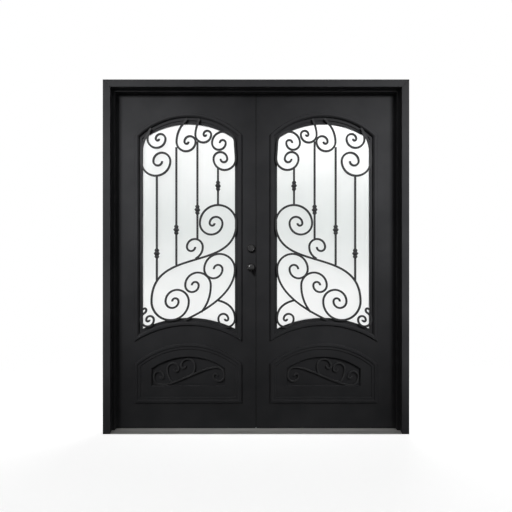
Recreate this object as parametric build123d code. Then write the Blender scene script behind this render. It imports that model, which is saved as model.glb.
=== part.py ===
# A pair of steel entry doors with scroll grilles, hung in a welded frame with a low sill.
# X runs across the doorway, Y from the street side to the room side, Z up from the floor.
# The origin is on the floor, under the middle of the sill and half way through the frame's depth.
# The left leaf is the active one with the lock; the right leaf is held by flush bolts.
import os
from math import sqrt

from build123d import *

# Frame
FRAME_WIDTH = 1829.0
FRAME_HEIGHT = 2117.0
FRAME_DEPTH = 142.0
FRAME_FACE = 44.0
FRAME_WALL = 3.0
STOP_RECESS = 45.0
STOP_PROJECTION = 17.0
SEAL_SPACE = 4.0
SEAL_WIDTH = 10.0
ANCHOR_RADIUS = 5.5
ANCHOR_EDGE = 25.0
ANCHOR_END = 300.0
ANCHOR_SPACING = 480.0
HEAD_ANCHOR_SPACING = 900.0

# Sill
SILL_HEIGHT = 11.0
SILL_NOSE = 4.0
SILL_SLOPE = 34.0
SILL_GROOVES = 4
SILL_GROOVE_WIDTH = 4.0
SILL_GROOVE_DEPTH = 1.2
SILL_GROOVE_PITCH = 11.0

# Leaves
LEAF_THICKNESS = 50.0
LEAF_WALL = 3.0
HINGE_GAP = 4.6
MEETING_GAP = 4.6
HEAD_GAP = 4.6
SILL_GAP = 4.6
HINGE_STILE = 150.0
LOCK_STILE = 108.0
SWEEP_WIDTH = 12.0
SWEEP_INSET = 3.0
MEETING_SEAL_WIDTH = 12.0
MEETING_SEAL_THICKNESS = 1.6

# Light: the least height of the rail over it, and the crown of its lower arch above the floor
TOP_RAIL_HEIGHT = 152.4
LIGHT_TOP_RADIUS = 441.0
LIGHT_SILL_CROWN = 666.0
LIGHT_SILL_RADIUS = 621.0
DAYLIGHT_EXTRA_RADIUS = 39.0
MOULDING_LAP = 27.0
MOULDING_HEIGHT = 9.0
MOULDING_BEVEL = 5.0
MOULDING_TOP = 13.0
MOULDING_LIP = 2.0
LEDGE_WIDTH = 19.0
LEDGE_CROWN_WIDTH = 39.0
LEDGE_DEPTH = 8.0
LEDGE_THICKNESS = 12.0
LEDGE_STEP = 6.0
PANE_THICKNESS = 5.0
PANE_SPACE = 12.0
PANE_CLEARANCE = 3.0
SPACER_WIDTH = 10.0
BEAD_BEVEL = 6.0

# Grille
BAR_WIDTH = 12.0
BAR_DEPTH = 12.0
COLLAR_HEIGHT = 58.0
COLLAR_BELLY = 34.0
COLLAR_RING = 26.0
COLLAR_NECK = 19.0
COLLAR_END = 16.0
COLLAR_CLEARANCE = 0.2
COLLAR_HEIGHT_SHARES = (0.0, 0.16, 0.30, 0.50, 0.70, 0.84, 1.0)

# Kick panel
KICK_BOTTOM = 192.0
KICK_CROWN = 506.0
KICK_RADIUS = 470.0
KICK_STEP_WIDTH = 5.0
KICK_STEP_HEIGHT = 4.0
KICK_FLAT_WIDTH = 13.0
KICK_FOOT_WIDTH = 4.0
FIELD_WIDTH = 449.0
FIELD_BOTTOM = 273.0
FIELD_CROWN = 446.0
FIELD_RADIUS = 386.0
FIELD_DEPTH = 14.0
FIELD_BEVEL = 4.0
KICK_BAR_WIDTH = 9.0
KICK_BAR_DEPTH = 10.0

# Hinges
HINGE_COUNT = 3
HINGE_END = 235.0
HINGE_HEIGHT = 126.0
HINGE_PLATE_WIDTH = 34.0
HINGE_PLATE_THICKNESS = 4.0
KNUCKLE_RADIUS = 9.0
KNUCKLE_CLEARANCE = 0.5
PIN_RADIUS = 5.0
PIN_CLEARANCE = 0.15
PIN_HEAD_RADIUS = 7.0
PIN_HEAD_HEIGHT = 8.0
PIN_HEAD_BEVEL = 3.0
PLATE_TO_AXIS = 2.0
JAMB_KNUCKLE_SHARES = ((0.0, 0.32), (0.68, 1.0))
LEAF_KNUCKLE_SHARES = ((0.325, 0.675),)

# Lock
BACKSET = 28.0
KNOB_HEIGHT = 995.0
DEADBOLT_RISE = 118.0
CASE_LENGTH = 60.0
CASE_THICKNESS = 24.0
CASE_MARGIN = 36.0
CASE_WALL = 2.0
FACE_PLATE_WIDTH = 28.0
FACE_PLATE_MARGIN = 18.0
LOCK_CLEARANCE = 0.4
LATCH_HEIGHT = 26.0
LATCH_THICKNESS = 12.0
LATCH_THROW = 12.0
LATCH_BEVEL = 9.0
LATCH_TIP = 3.0
DEADBOLT_TALL = 32.0
DEADBOLT_THICKNESS = 14.0
DEADBOLT_THROW = 15.0
BOLT_SETBACK = 0.5
BOLT_BRIDGE = 4.0
HUB_RADIUS = 7.0
HUB_SPACE = 1.5
SPINDLE_WIDTH = 8.0
ROSE_RADIUS = 25.0
ROSE_THICKNESS = 8.0
ROSE_BEVEL = 3.0
NECK_RADIUS = 10.0
KNOB_RADIUS = 25.0
KNOB_REACH = 60.0
KNOB_DEPTH = 36.0
KNOB_FLARE = 13.0
KNOB_CROWN = 10.0
CYLINDER_RADIUS = 15.0
CYLINDER_REACH = 16.0
GUARD_BEVEL = 6.0
KEYWAY_HEIGHT = 12.0
KEYWAY_WIDTH = 2.4
KEYWAY_DEPTH = 9.0
TURN_LENGTH = 38.0
TURN_WIDTH = 9.0
TURN_REACH = 22.0

# Flush bolts
FLUSH_ROD_RADIUS = 6.0
FLUSH_ROD_LENGTH = 240.0
FLUSH_INSET = 30.0
FLUSH_THROW = 14.0
FLUSH_TAB_HEIGHT = 14.0
FLUSH_TAB_THICKNESS = 8.0
FLUSH_TAB_DROP = 200.0
FLUSH_PLATE_WIDTH = 22.0
FLUSH_PLATE_HEIGHT = 120.0
FLUSH_GUIDE = 14.0
FLUSH_CLEARANCE = 0.4
KEEPER_LENGTH = 60.0
KEEPER_WIDTH = 24.0
KEEPER_THICKNESS = 2.0

OVERRUN = 1.0

# Scroll tables. A volute is a level, the side its first half ring passes on, and the places where
# its half rings cross that level, from the eye outwards. Levels are shares of the opening's height
# from the crown of its lower arch, and places are shares of its width from the hinge stile.
UNDER, OVER = -1, 1
GRILLE_VOLUTE_SHARES = {
    "shoulder": (0.893, UNDER, (0.202, 0.169, 0.267, 0.086)),
    "hinge_side": (0.784, UNDER, (0.233, 0.145, 0.316, 0.021)),
    "crown": (0.879, UNDER, (0.500, 0.459, 0.571, 0.379)),
    "crown_side": (0.914, UNDER, (0.678, 0.652, 0.729, 0.569)),
    "lock_upper": (0.873, OVER, (0.816, 0.876, 0.738, 0.967)),
    "lock_lower": (0.795, UNDER, (0.824, 0.891, 0.753, 0.977)),
    "great_upper": (0.480, UNDER, (0.763, 0.714, 0.843, 0.615, 0.983)),
    "great_lower": (0.097, OVER, (0.335, 0.399, 0.268, 0.503, 0.126)),
    "bud": (0.364, UNDER, (0.567, 0.484, 0.644)),
    "comma": (0.255, OVER, (0.756, 0.843, 0.659, 0.968)),
    "middle": (0.176, OVER, (0.534, 0.603, 0.467, 0.725)),
    "lock_corner": (0.012, UNDER, (0.867, 0.902, 0.802, 0.969)),
    "hinge_corner": (0.007, UNDER, (0.105, 0.073, 0.150, 0.017)),
    "corner_hook": (0.055, OVER, (0.040, 0.073)),
}
# Two volutes on one bar, with the length of the bar's two handles as shares of the height.
GRILLE_PAIR_SHARES = (
    ("lock_upper", "lock_lower", 0.020, 0.020),
    ("great_upper", "great_lower", 0.245, 0.275),
    ("hinge_corner", "corner_hook", 0.034, 0.020),
)
# One volute on a stem: the handle above or below it, then the place and height where the stem ends.
GRILLE_STEM_SHARES = (
    ("shoulder", 0.030, 0.122, 0.945),
    ("hinge_side", 0.105, 0.110, 0.928),
    ("crown", 0.060, 0.490, 0.992),
    ("crown_side", 0.030, 0.612, 0.991),
    ("bud", -0.036, 0.570, 0.306),
    ("comma", -0.136, 0.455, 0.004),
    ("middle", -0.075, 0.630, 0.045),
    ("lock_corner", 0.070, 0.800, 0.102),
)
# Upright bars: place, foot and head, and the height of the collar on each.
GRILLE_BAR_SHARES = (
    (0.180, 0.200, 0.716, 0.332),
    (0.377, 0.275, 0.852, 0.448),
    (0.590, 0.402, 0.880, 0.546),
    (0.798, 0.573, 0.751, 0.663),
)
# The kick scroll, in the same form, as shares of the sunk field's width and height.
KICK_VOLUTE_SHARES = {
    "lock_end": (0.340, OVER, (0.895, 0.838, 0.985)),
    "hinge_end": (0.320, UNDER, (0.110, 0.160, 0.024)),
    "left_curl": (0.587, UNDER, (0.298, 0.364, 0.207)),
    "right_curl": (0.690, UNDER, (0.456, 0.395, 0.584)),
}
KICK_PAIR_SHARES = (("lock_end", "hinge_end", 1.050, 1.050),)
KICK_STEM_SHARES = (
    ("left_curl", -0.250, 0.275, 0.085),
    ("right_curl", -0.150, 0.555, 0.410),
)

# Places worked out from the sizes
FRONT = -FRAME_DEPTH / 2
BACK = FRAME_DEPTH / 2
HALF_WIDTH = FRAME_WIDTH / 2
REVEAL = HALF_WIDTH - FRAME_FACE
HEAD_UNDER = FRAME_HEIGHT - FRAME_FACE
LEAF_FRONT = BACK - LEAF_THICKNESS
LEAF_MIDDLE = BACK - LEAF_THICKNESS / 2
LEAF_BOTTOM = SILL_HEIGHT + SILL_GAP
LEAF_TOP = HEAD_UNDER - HEAD_GAP
HINGE_EDGE = -(REVEAL - HINGE_GAP)
LOCK_EDGE = -MEETING_GAP / 2
LIGHT_LEFT = HINGE_EDGE + HINGE_STILE
LIGHT_RIGHT = LOCK_EDGE - LOCK_STILE
LIGHT_WIDTH = LIGHT_RIGHT - LIGHT_LEFT
LIGHT_CENTRE = (LIGHT_LEFT + LIGHT_RIGHT) / 2
LIGHT_CROWN = LEAF_TOP - TOP_RAIL_HEIGHT
LIGHT_HEIGHT = LIGHT_CROWN - LIGHT_SILL_CROWN
DAYLIGHT_RADIUS = LIGHT_TOP_RADIUS + DAYLIGHT_EXTRA_RADIUS
STOP_BACK = LEAF_FRONT - SEAL_SPACE
LEDGE_FRONT = LEAF_FRONT + LEDGE_DEPTH
PANE_FRONT = LEDGE_FRONT + LEDGE_THICKNESS
SPACER_FRONT = PANE_FRONT + PANE_THICKNESS
ROOM_PANE_FRONT = SPACER_FRONT + PANE_SPACE
BEAD_FRONT = ROOM_PANE_FRONT + PANE_THICKNESS
FIELD_LEFT = LIGHT_CENTRE - FIELD_WIDTH / 2
FIELD_HEIGHT = FIELD_CROWN - FIELD_BOTTOM
FIELD_FLOOR = LEAF_FRONT + FIELD_DEPTH
PIVOT_X = -(REVEAL - HINGE_GAP / 2)
PIVOT_Y = BACK + KNUCKLE_RADIUS + KNUCKLE_CLEARANCE
LOCK_X = LOCK_EDGE - BACKSET
DEADBOLT_HEIGHT = KNOB_HEIGHT + DEADBOLT_RISE
CASE_FRONT = LOCK_EDGE - LEAF_WALL
CASE_LOW = KNOB_HEIGHT - CASE_MARGIN
CASE_HIGH = DEADBOLT_HEIGHT + CASE_MARGIN
FLUSH_X = -LOCK_EDGE + FLUSH_INSET
STREET, ROOM = "street", "room"
# The tip of each flush bolt and the way back along its rod
FLUSH_ENDS = {"upper": (LEAF_TOP - BOLT_SETBACK, -1), "lower": (LEAF_BOTTOM + BOLT_SETBACK, 1)}

os.makedirs("parts", exist_ok=True)


def save(name, *solids):
    """Write one node, as one solid or as a group of like solids."""
    shape = solids[0] if len(solids) == 1 else Compound(children=list(solids))
    export_step(shape, f"parts/{name}.step")


def mirrored(shape):
    """The same piece on the other side of the doorway."""
    return mirror(shape, about=Plane.YZ)


def block(left, right, front, back, low, high):
    """A box between six planes."""
    size = Box(right - left, back - front, high - low)
    return Pos((left + right) / 2, (front + back) / 2, (low + high) / 2) * size


def elevation(depth):
    """The plane of a front view at one depth, with X across and Z up."""
    return Plane((0, depth, 0), x_dir=(1, 0, 0), z_dir=(0, -1, 0))


def slab(face, front, back):
    """A front view outline given its depth."""
    return extrude(elevation(back) * face, amount=back - front, dir=(0, -1, 0))


def frustum(back_face, back, front_face, front):
    """A solid that tapers from one outline to another of the same form."""
    return loft([elevation(back) * back_face, elevation(front) * front_face], ruled=True)


def polygon(*points):
    """A flat outline with straight sides."""
    return make_face(Polyline(*points, close=True))


def rod(radius, x, y, low, high):
    """An upright round bar."""
    return Pos(x, y, (low + high) / 2) * Cylinder(radius, high - low)


def cross_rod(radius, x, z, front, back):
    """A round bar along the depth of the door."""
    return Pos(x, (front + back) / 2, z) * Rot(90, 0, 0) * Cylinder(radius, back - front)


def arc_height(half, radius, centre):
    """Height of an arc above the floor at a distance from its middle."""
    return centre + sqrt(radius**2 - half**2)


def arched(half, top_radius, top_centre, low_radius=None, low_centre=0, floor=0):
    """An outline with upright sides and an arched head, over a flat or an arched foot."""
    left, right = LIGHT_CENTRE - half, LIGHT_CENTRE + half
    head = arc_height(half, top_radius, top_centre)
    foot = arc_height(half, low_radius, low_centre) if low_radius else floor
    base = Line((right, foot), (left, foot))
    if low_radius:
        base = ThreePointArc((right, foot), (LIGHT_CENTRE, low_centre + low_radius), (left, foot))
    return make_face(
        [
            Line((left, foot), (left, head)),
            ThreePointArc((left, head), (LIGHT_CENTRE, top_centre + top_radius), (right, head)),
            Line((right, head), (right, foot)),
            base,
        ]
    )


def light_outline(inset=0):
    """The opening of the light, drawn in by an inset."""
    return arched(
        LIGHT_WIDTH / 2 - inset,
        LIGHT_TOP_RADIUS - inset,
        LIGHT_CROWN - LIGHT_TOP_RADIUS,
        LIGHT_SILL_RADIUS + inset,
        LIGHT_SILL_CROWN - LIGHT_SILL_RADIUS,
    )


def daylight(growth=0):
    """The part of the glass that shows inside the ledge, under a flatter arch."""
    return arched(
        LIGHT_WIDTH / 2 - LEDGE_WIDTH + growth,
        DAYLIGHT_RADIUS + growth,
        LIGHT_CROWN - LEDGE_CROWN_WIDTH - DAYLIGHT_RADIUS,
        LIGHT_SILL_RADIUS + LEDGE_WIDTH - growth,
        LIGHT_SILL_CROWN - LIGHT_SILL_RADIUS,
    )


def kick_outline(inset=0):
    """The opening of the kick panel, drawn in by an inset."""
    return arched(
        LIGHT_WIDTH / 2 - inset,
        KICK_RADIUS - inset,
        KICK_CROWN - KICK_RADIUS,
        floor=KICK_BOTTOM + inset,
    )


def field_outline(inset=0):
    """The sunk field in the kick panel, drawn in by an inset."""
    return arched(
        FIELD_WIDTH / 2 - inset,
        FIELD_RADIUS - inset,
        FIELD_CROWN - FIELD_RADIUS,
        floor=FIELD_BOTTOM + inset,
    )


# Frame pieces
def jamb_outline(inset):
    """A mitred jamb in front view; an inset gives the hollow of the tube, open at both ends."""
    outer, inner = -HALF_WIDTH + inset, -REVEAL - inset
    return polygon(
        (outer, 0),
        (inner, 0),
        (inner, HEAD_UNDER + inset),
        (outer, FRAME_HEIGHT - inset),
    )


def head_outline(inset):
    """The mitred head in front view; an inset gives its hollow."""
    outer, inner = HALF_WIDTH - inset, REVEAL + inset
    top, under = FRAME_HEIGHT - inset, HEAD_UNDER + inset
    return polygon((-inner, under), (inner, under), (outer, top), (-outer, top))


def tube(outline):
    """A welded tube of one wall thickness from its front view."""
    hollow = slab(outline(FRAME_WALL), FRONT + FRAME_WALL, BACK - FRAME_WALL)
    return slab(outline(0), FRONT, BACK) - hollow


def left_jamb():
    jamb = tube(jamb_outline)
    for end in (ANCHOR_END, FRAME_HEIGHT - ANCHOR_END - ANCHOR_SPACING):
        for height in (end, end + ANCHOR_SPACING):
            hole = Pos(-HALF_WIDTH + FRAME_FACE / 2, BACK - ANCHOR_EDGE, height) * Rot(0, 90, 0)
            jamb -= hole * Cylinder(ANCHOR_RADIUS, FRAME_FACE + OVERRUN)
    return jamb


def head_jamb():
    head = tube(head_outline)
    for side in (-1, 1):
        place = Pos(side * HEAD_ANCHOR_SPACING / 2, BACK - ANCHOR_EDGE, FRAME_HEIGHT - FRAME_FACE / 2)
        head -= place * Cylinder(ANCHOR_RADIUS, FRAME_FACE + OVERRUN)
    bore = FLUSH_ROD_RADIUS + FLUSH_CLEARANCE
    head -= rod(bore, FLUSH_X, LEAF_MIDDLE, HEAD_UNDER - OVERRUN, FRAME_HEIGHT - FRAME_FACE / 2)
    return head - keeper_blank(LOCK_CLEARANCE)


def keeper_blank(growth):
    """The keeper plate's outline in the underside of the head."""
    half_length, half_width = KEEPER_LENGTH / 2 + growth, KEEPER_WIDTH / 2 + growth
    return block(
        FLUSH_X - half_length,
        FLUSH_X + half_length,
        LEAF_MIDDLE - half_width,
        LEAF_MIDDLE + half_width,
        HEAD_UNDER,
        HEAD_UNDER + KEEPER_THICKNESS,
    )


def keeper_plate():
    bore = rod(
        FLUSH_ROD_RADIUS + FLUSH_CLEARANCE,
        FLUSH_X,
        LEAF_MIDDLE,
        HEAD_UNDER - OVERRUN,
        HEAD_UNDER + KEEPER_THICKNESS + OVERRUN,
    )
    return keeper_blank(0) - bore


def left_stop():
    outer, inner = -REVEAL, -REVEAL + STOP_PROJECTION
    top = HEAD_UNDER
    face = polygon((outer, SILL_HEIGHT), (inner, SILL_HEIGHT), (inner, top - STOP_PROJECTION), (outer, top))
    return slab(face, FRONT + STOP_RECESS, STOP_BACK)


def head_stop():
    outer, inner = REVEAL, REVEAL - STOP_PROJECTION
    top = HEAD_UNDER
    low = top - STOP_PROJECTION
    face = polygon((-inner, low), (inner, low), (outer, top), (-outer, top))
    return slab(face, FRONT + STOP_RECESS, STOP_BACK)


def frame_seal():
    """Three strips on the back of the stops, mitred at the corners."""
    inner, outer = REVEAL - STOP_PROJECTION, REVEAL - STOP_PROJECTION + SEAL_WIDTH
    low = HEAD_UNDER - STOP_PROJECTION
    top = low + SEAL_WIDTH
    side = polygon((-outer, SILL_HEIGHT), (-inner, SILL_HEIGHT), (-inner, low), (-outer, top))
    head = polygon((-inner, low), (inner, low), (outer, top), (-outer, top))
    back = LEAF_FRONT - LOCK_CLEARANCE
    left = slab(side, STOP_BACK, back)
    return left, mirrored(left), slab(head, STOP_BACK, back)


def sill():
    """A low saddle between the jambs, sloped to the street, fluted, and bored for the lower flush bolt."""
    profile = make_face(
        Polyline(
            (FRONT, 0),
            (BACK, 0),
            (BACK, SILL_HEIGHT),
            (FRONT + SILL_SLOPE, SILL_HEIGHT),
            (FRONT, SILL_NOSE),
            close=True,
        )
    )
    side = Plane((-REVEAL, 0, 0), x_dir=(0, 1, 0), z_dir=(1, 0, 0))
    saddle = extrude(side * profile, amount=REVEAL * 2, dir=(1, 0, 0))
    for number in range(SILL_GROOVES):
        front = FRONT + SILL_SLOPE + (number + 1) * SILL_GROOVE_PITCH
        saddle -= block(
            -REVEAL + STOP_PROJECTION,
            REVEAL - STOP_PROJECTION,
            front,
            front + SILL_GROOVE_WIDTH,
            SILL_HEIGHT - SILL_GROOVE_DEPTH,
            SILL_HEIGHT + OVERRUN,
        )
    bore = rod(FLUSH_ROD_RADIUS + FLUSH_CLEARANCE, FLUSH_X, LEAF_MIDDLE, -OVERRUN, SILL_HEIGHT + OVERRUN)
    return saddle - bore


# Hinges
def hinge_heights():
    low, high = LEAF_BOTTOM + HINGE_END, LEAF_TOP - HINGE_END
    return [low + number * (high - low) / (HINGE_COUNT - 1) for number in range(HINGE_COUNT)]


def hinge_half(middle, side, own_shares, other_shares):
    """A flat plate with its knuckles, each given as its low and high share of the hinge's height."""
    low, high = middle - HINGE_HEIGHT / 2, middle + HINGE_HEIGHT / 2
    near, far = sorted((PIVOT_X + side * PLATE_TO_AXIS, PIVOT_X + side * HINGE_PLATE_WIDTH))
    half = block(near, far, BACK, BACK + HINGE_PLATE_THICKNESS, low, high)
    for start, end in own_shares:
        half += rod(KNUCKLE_RADIUS, PIVOT_X, PIVOT_Y, low + start * HINGE_HEIGHT, low + end * HINGE_HEIGHT)
    for start, end in other_shares:
        half -= rod(
            KNUCKLE_RADIUS + KNUCKLE_CLEARANCE,
            PIVOT_X,
            PIVOT_Y,
            low + start * HINGE_HEIGHT - KNUCKLE_CLEARANCE,
            low + end * HINGE_HEIGHT + KNUCKLE_CLEARANCE,
        )
    return half - rod(PIN_RADIUS + PIN_CLEARANCE, PIVOT_X, PIVOT_Y, low - OVERRUN, high + OVERRUN)


def jamb_hinge(middle):
    return hinge_half(middle, -1, JAMB_KNUCKLE_SHARES, LEAF_KNUCKLE_SHARES)


def leaf_hinge(middle):
    return hinge_half(middle, 1, LEAF_KNUCKLE_SHARES, JAMB_KNUCKLE_SHARES)


def hinge_pin(middle):
    """A pin with a bevelled head that rests on the upper knuckle."""
    low, high = middle - HINGE_HEIGHT / 2, middle + HINGE_HEIGHT / 2
    profile = polygon(
        (0, 0),
        (PIN_HEAD_RADIUS, 0),
        (PIN_HEAD_RADIUS, PIN_HEAD_HEIGHT - PIN_HEAD_BEVEL),
        (PIN_HEAD_RADIUS - PIN_HEAD_BEVEL, PIN_HEAD_HEIGHT),
        (0, PIN_HEAD_HEIGHT),
    )
    head = Pos(PIVOT_X, PIVOT_Y, high) * revolve(Plane.XZ * profile, axis=Axis.Z)
    return rod(PIN_RADIUS, PIVOT_X, PIVOT_Y, low, high) + head


# Leaf members, drawn for the left leaf
def stile(left, right):
    """An upright tube with a capped head and an open foot."""
    wall = LEAF_WALL
    hollow = block(
        left + wall, right - wall, LEAF_FRONT + wall, BACK - wall, LEAF_BOTTOM - OVERRUN, LEAF_TOP - wall
    )
    return block(left, right, LEAF_FRONT, BACK, LEAF_BOTTOM, LEAF_TOP) - hollow


def edge_plate(width, low, high, growth=0):
    """A plate let into the wall of a meeting edge, flush with it."""
    half = width / 2 + growth
    return block(
        LOCK_EDGE - LEAF_WALL, LOCK_EDGE, LEAF_MIDDLE - half, LEAF_MIDDLE + half, low - growth, high + growth
    )


def lock_plate(growth=0):
    """The outline shared by the lock's face plate and the strike plate."""
    return edge_plate(FACE_PLATE_WIDTH, CASE_LOW - FACE_PLATE_MARGIN, CASE_HIGH + FACE_PLATE_MARGIN, growth)


def active_lock_stile():
    post = stile(LIGHT_RIGHT, LOCK_EDGE) - lock_plate(LOCK_CLEARANCE)
    neck, cylinder = NECK_RADIUS + LOCK_CLEARANCE, CYLINDER_RADIUS + LOCK_CLEARANCE
    post -= cross_rod(neck, LOCK_X, KNOB_HEIGHT, LEAF_FRONT - OVERRUN, BACK + OVERRUN)
    post -= cross_rod(cylinder, LOCK_X, DEADBOLT_HEIGHT, LEAF_FRONT - OVERRUN, LEAF_MIDDLE)
    return post - cross_rod(neck, LOCK_X, DEADBOLT_HEIGHT, LEAF_MIDDLE, BACK + OVERRUN)


def passive_lock_stile():
    post = stile(LIGHT_RIGHT, LOCK_EDGE) - lock_plate(LOCK_CLEARANCE)
    for end in FLUSH_ENDS:
        post -= flush_plate(end, LOCK_CLEARANCE)
    bore = FLUSH_ROD_RADIUS + FLUSH_CLEARANCE
    return post - rod(bore, -FLUSH_X, LEAF_MIDDLE, LEAF_TOP - LEAF_WALL - OVERRUN, LEAF_TOP + OVERRUN)


def disc(radius, crown_radius, crown):
    """A disc on the centre of an arch that is given by its crown and its own radius."""
    return Pos(LIGHT_CENTRE, crown - crown_radius) * Circle(radius)


def panel(low, high):
    """A flat outline between the stiles."""
    return Pos(LIGHT_CENTRE, (low + high) / 2) * Rectangle(LIGHT_WIDTH, high - low)


def rail_tube(outline, hollow):
    """A tube between the stiles, open at both ends, from its front view and that of its hollow."""
    return slab(outline, LEAF_FRONT, BACK) - slab(hollow, LEAF_FRONT + LEAF_WALL, BACK - LEAF_WALL)


def top_rail():
    spring = arc_height(LIGHT_WIDTH / 2, LIGHT_TOP_RADIUS, LIGHT_CROWN - LIGHT_TOP_RADIUS)
    arch = disc(LIGHT_TOP_RADIUS, LIGHT_TOP_RADIUS, LIGHT_CROWN)
    inner_arch = disc(LIGHT_TOP_RADIUS + LEAF_WALL, LIGHT_TOP_RADIUS, LIGHT_CROWN)
    return rail_tube(panel(spring, LEAF_TOP) - arch, panel(spring, LEAF_TOP - LEAF_WALL) - inner_arch)


def lock_rail():
    spring = arc_height(LIGHT_WIDTH / 2, KICK_RADIUS, KICK_CROWN - KICK_RADIUS)
    space = panel(spring, LIGHT_SILL_CROWN)
    upper = disc(LIGHT_SILL_RADIUS, LIGHT_SILL_RADIUS, LIGHT_SILL_CROWN)
    inner_upper = disc(LIGHT_SILL_RADIUS - LEAF_WALL, LIGHT_SILL_RADIUS, LIGHT_SILL_CROWN)
    lower = disc(KICK_RADIUS, KICK_RADIUS, KICK_CROWN)
    inner_lower = disc(KICK_RADIUS + LEAF_WALL, KICK_RADIUS, KICK_CROWN)
    return rail_tube((space & upper) - lower, (space & inner_upper) - inner_lower)


def bottom_rail():
    return rail_tube(panel(LEAF_BOTTOM, KICK_BOTTOM), panel(LEAF_BOTTOM + LEAF_WALL, KICK_BOTTOM - LEAF_WALL))


def sweep_strip():
    front = LEAF_FRONT + SWEEP_INSET
    return block(
        HINGE_EDGE, LOCK_EDGE, front, front + SWEEP_WIDTH, SILL_HEIGHT + LOCK_CLEARANCE, LEAF_BOTTOM
    )


# Light
def light_moulding():
    """A raised trim round the light, bevelled outside and rolled down to a lip inside."""
    crest = LEAF_FRONT - MOULDING_HEIGHT
    lip = LEAF_FRONT - MOULDING_LIP
    bevel_edge = MOULDING_BEVEL - MOULDING_LAP
    body = frustum(light_outline(-MOULDING_LAP), LEAF_FRONT, light_outline(bevel_edge), crest)
    body -= frustum(light_outline(), lip, light_outline(bevel_edge + MOULDING_TOP), crest)
    return body - slab(light_outline(), lip, LEAF_FRONT)


def glazing_ledge():
    """A ledge that carries grille and glass, stepped back under the crown to the flatter arch."""
    step = LEDGE_FRONT + LEDGE_STEP
    body = slab(light_outline(), LEDGE_FRONT, PANE_FRONT)
    body -= slab(light_outline(LEDGE_WIDTH), LEDGE_FRONT, step)
    return body - slab(daylight(), step, PANE_FRONT)


def glass_panes():
    pane = light_outline(PANE_CLEARANCE)
    return slab(pane, PANE_FRONT, SPACER_FRONT), slab(pane, ROOM_PANE_FRONT, BEAD_FRONT)


def glass_spacer():
    outer = slab(light_outline(PANE_CLEARANCE), SPACER_FRONT, ROOM_PANE_FRONT)
    return outer - slab(light_outline(PANE_CLEARANCE + SPACER_WIDTH), SPACER_FRONT, ROOM_PANE_FRONT)


def glazing_bead():
    hole = frustum(daylight(BEAD_BEVEL), BACK, daylight(), BEAD_FRONT)
    return slab(light_outline(), BEAD_FRONT, BACK) - hole


# Scrolls
class Ground:
    """The rectangle that a table of shares is laid out on."""

    def __init__(self, left, low, width, height):
        self.left, self.low, self.width, self.height = left, low, width, height

    def spot(self, x_share, z_share):
        return self.left + x_share * self.width, self.low + z_share * self.height


def volute(ground, shares):
    """Half rings from the eye outwards, with the outer end and the way it heads, up or down."""
    level_share, side, crossing_shares = shares
    rings = []
    places = [ground.spot(share, level_share) for share in crossing_shares]
    for (start, level), (end, _) in zip(places, places[1:]):
        rightward = start < end
        sweep = -180 * side if rightward else 180 * side
        radius = abs(end - start) / 2
        rings.append(CenterArc(((start + end) / 2, level), radius, 180 if rightward else 0, sweep))
        side = -side
    return rings, places[-1], side


def bar_face(edges, width):
    """A bar of even width along tangent curves."""
    return Sketch() + [trace(edge, width) for edge in edges]


def scroll_faces(ground, volutes, pairs, stems, width):
    """Every scroll of a table in front view: paired volutes on one bar, and single ones on a stem."""
    faces = []
    for first, second, first_share, second_share in pairs:
        first_rings, (x0, z0), heading = volute(ground, volutes[first])
        second_rings, (x1, z1), _ = volute(ground, volutes[second])
        lift = heading * ground.height
        bar = Bezier((x0, z0), (x0, z0 + lift * first_share), (x1, z1 - lift * second_share), (x1, z1))
        faces.append(bar_face([*first_rings, bar, *second_rings], width))
    for name, handle_share, x_share, z_share in stems:
        rings, (x0, z0), _ = volute(ground, volutes[name])
        stem = Bezier((x0, z0), (x0, z0 + handle_share * ground.height), ground.spot(x_share, z_share))
        faces.append(bar_face([*rings, stem], width))
    return faces


LIGHT_GROUND = Ground(LIGHT_LEFT, LIGHT_SILL_CROWN, LIGHT_WIDTH, LIGHT_HEIGHT)
FIELD_GROUND = Ground(FIELD_LEFT, FIELD_BOTTOM, FIELD_WIDTH, FIELD_HEIGHT)


def grille():
    """All scrolls and upright bars, forge welded into one flat panel and to the opening's edge."""
    face = Sketch()
    for scroll in scroll_faces(
        LIGHT_GROUND, GRILLE_VOLUTE_SHARES, GRILLE_PAIR_SHARES, GRILLE_STEM_SHARES, BAR_WIDTH
    ):
        face += scroll
    for x_share, foot_share, head_share, _ in GRILLE_BAR_SHARES:
        x, foot = LIGHT_GROUND.spot(x_share, foot_share)
        _, head = LIGHT_GROUND.spot(x_share, head_share)
        face += Pos(x, (foot + head) / 2) * Rectangle(BAR_WIDTH, head - foot)
    return slab(face & light_outline(), LEDGE_FRONT - BAR_DEPTH, LEDGE_FRONT)


def collar(x, z):
    """A cast square knuckle that is threaded on an upright bar."""
    widths = (COLLAR_END, COLLAR_RING, COLLAR_NECK, COLLAR_BELLY, COLLAR_NECK, COLLAR_RING, COLLAR_END)
    heights = [(share - 1 / 2) * COLLAR_HEIGHT for share in COLLAR_HEIGHT_SHARES]
    right = [(width / 2, height) for width, height in zip(widths, heights)]
    left = [(-half, height) for half, height in reversed(right)]
    plate = slab(polygon(*right, *left), -COLLAR_BELLY / 2, COLLAR_BELLY / 2)
    body = plate & (Rot(0, 0, 90) * plate)
    hole = Box(BAR_WIDTH + 2 * COLLAR_CLEARANCE, BAR_DEPTH + 2 * COLLAR_CLEARANCE, COLLAR_HEIGHT + OVERRUN)
    return Pos(x, LEDGE_FRONT - BAR_DEPTH / 2, z) * (body - hole)


def grille_collars():
    return [collar(*LIGHT_GROUND.spot(x_share, z_share)) for x_share, _, _, z_share in GRILLE_BAR_SHARES]


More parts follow.
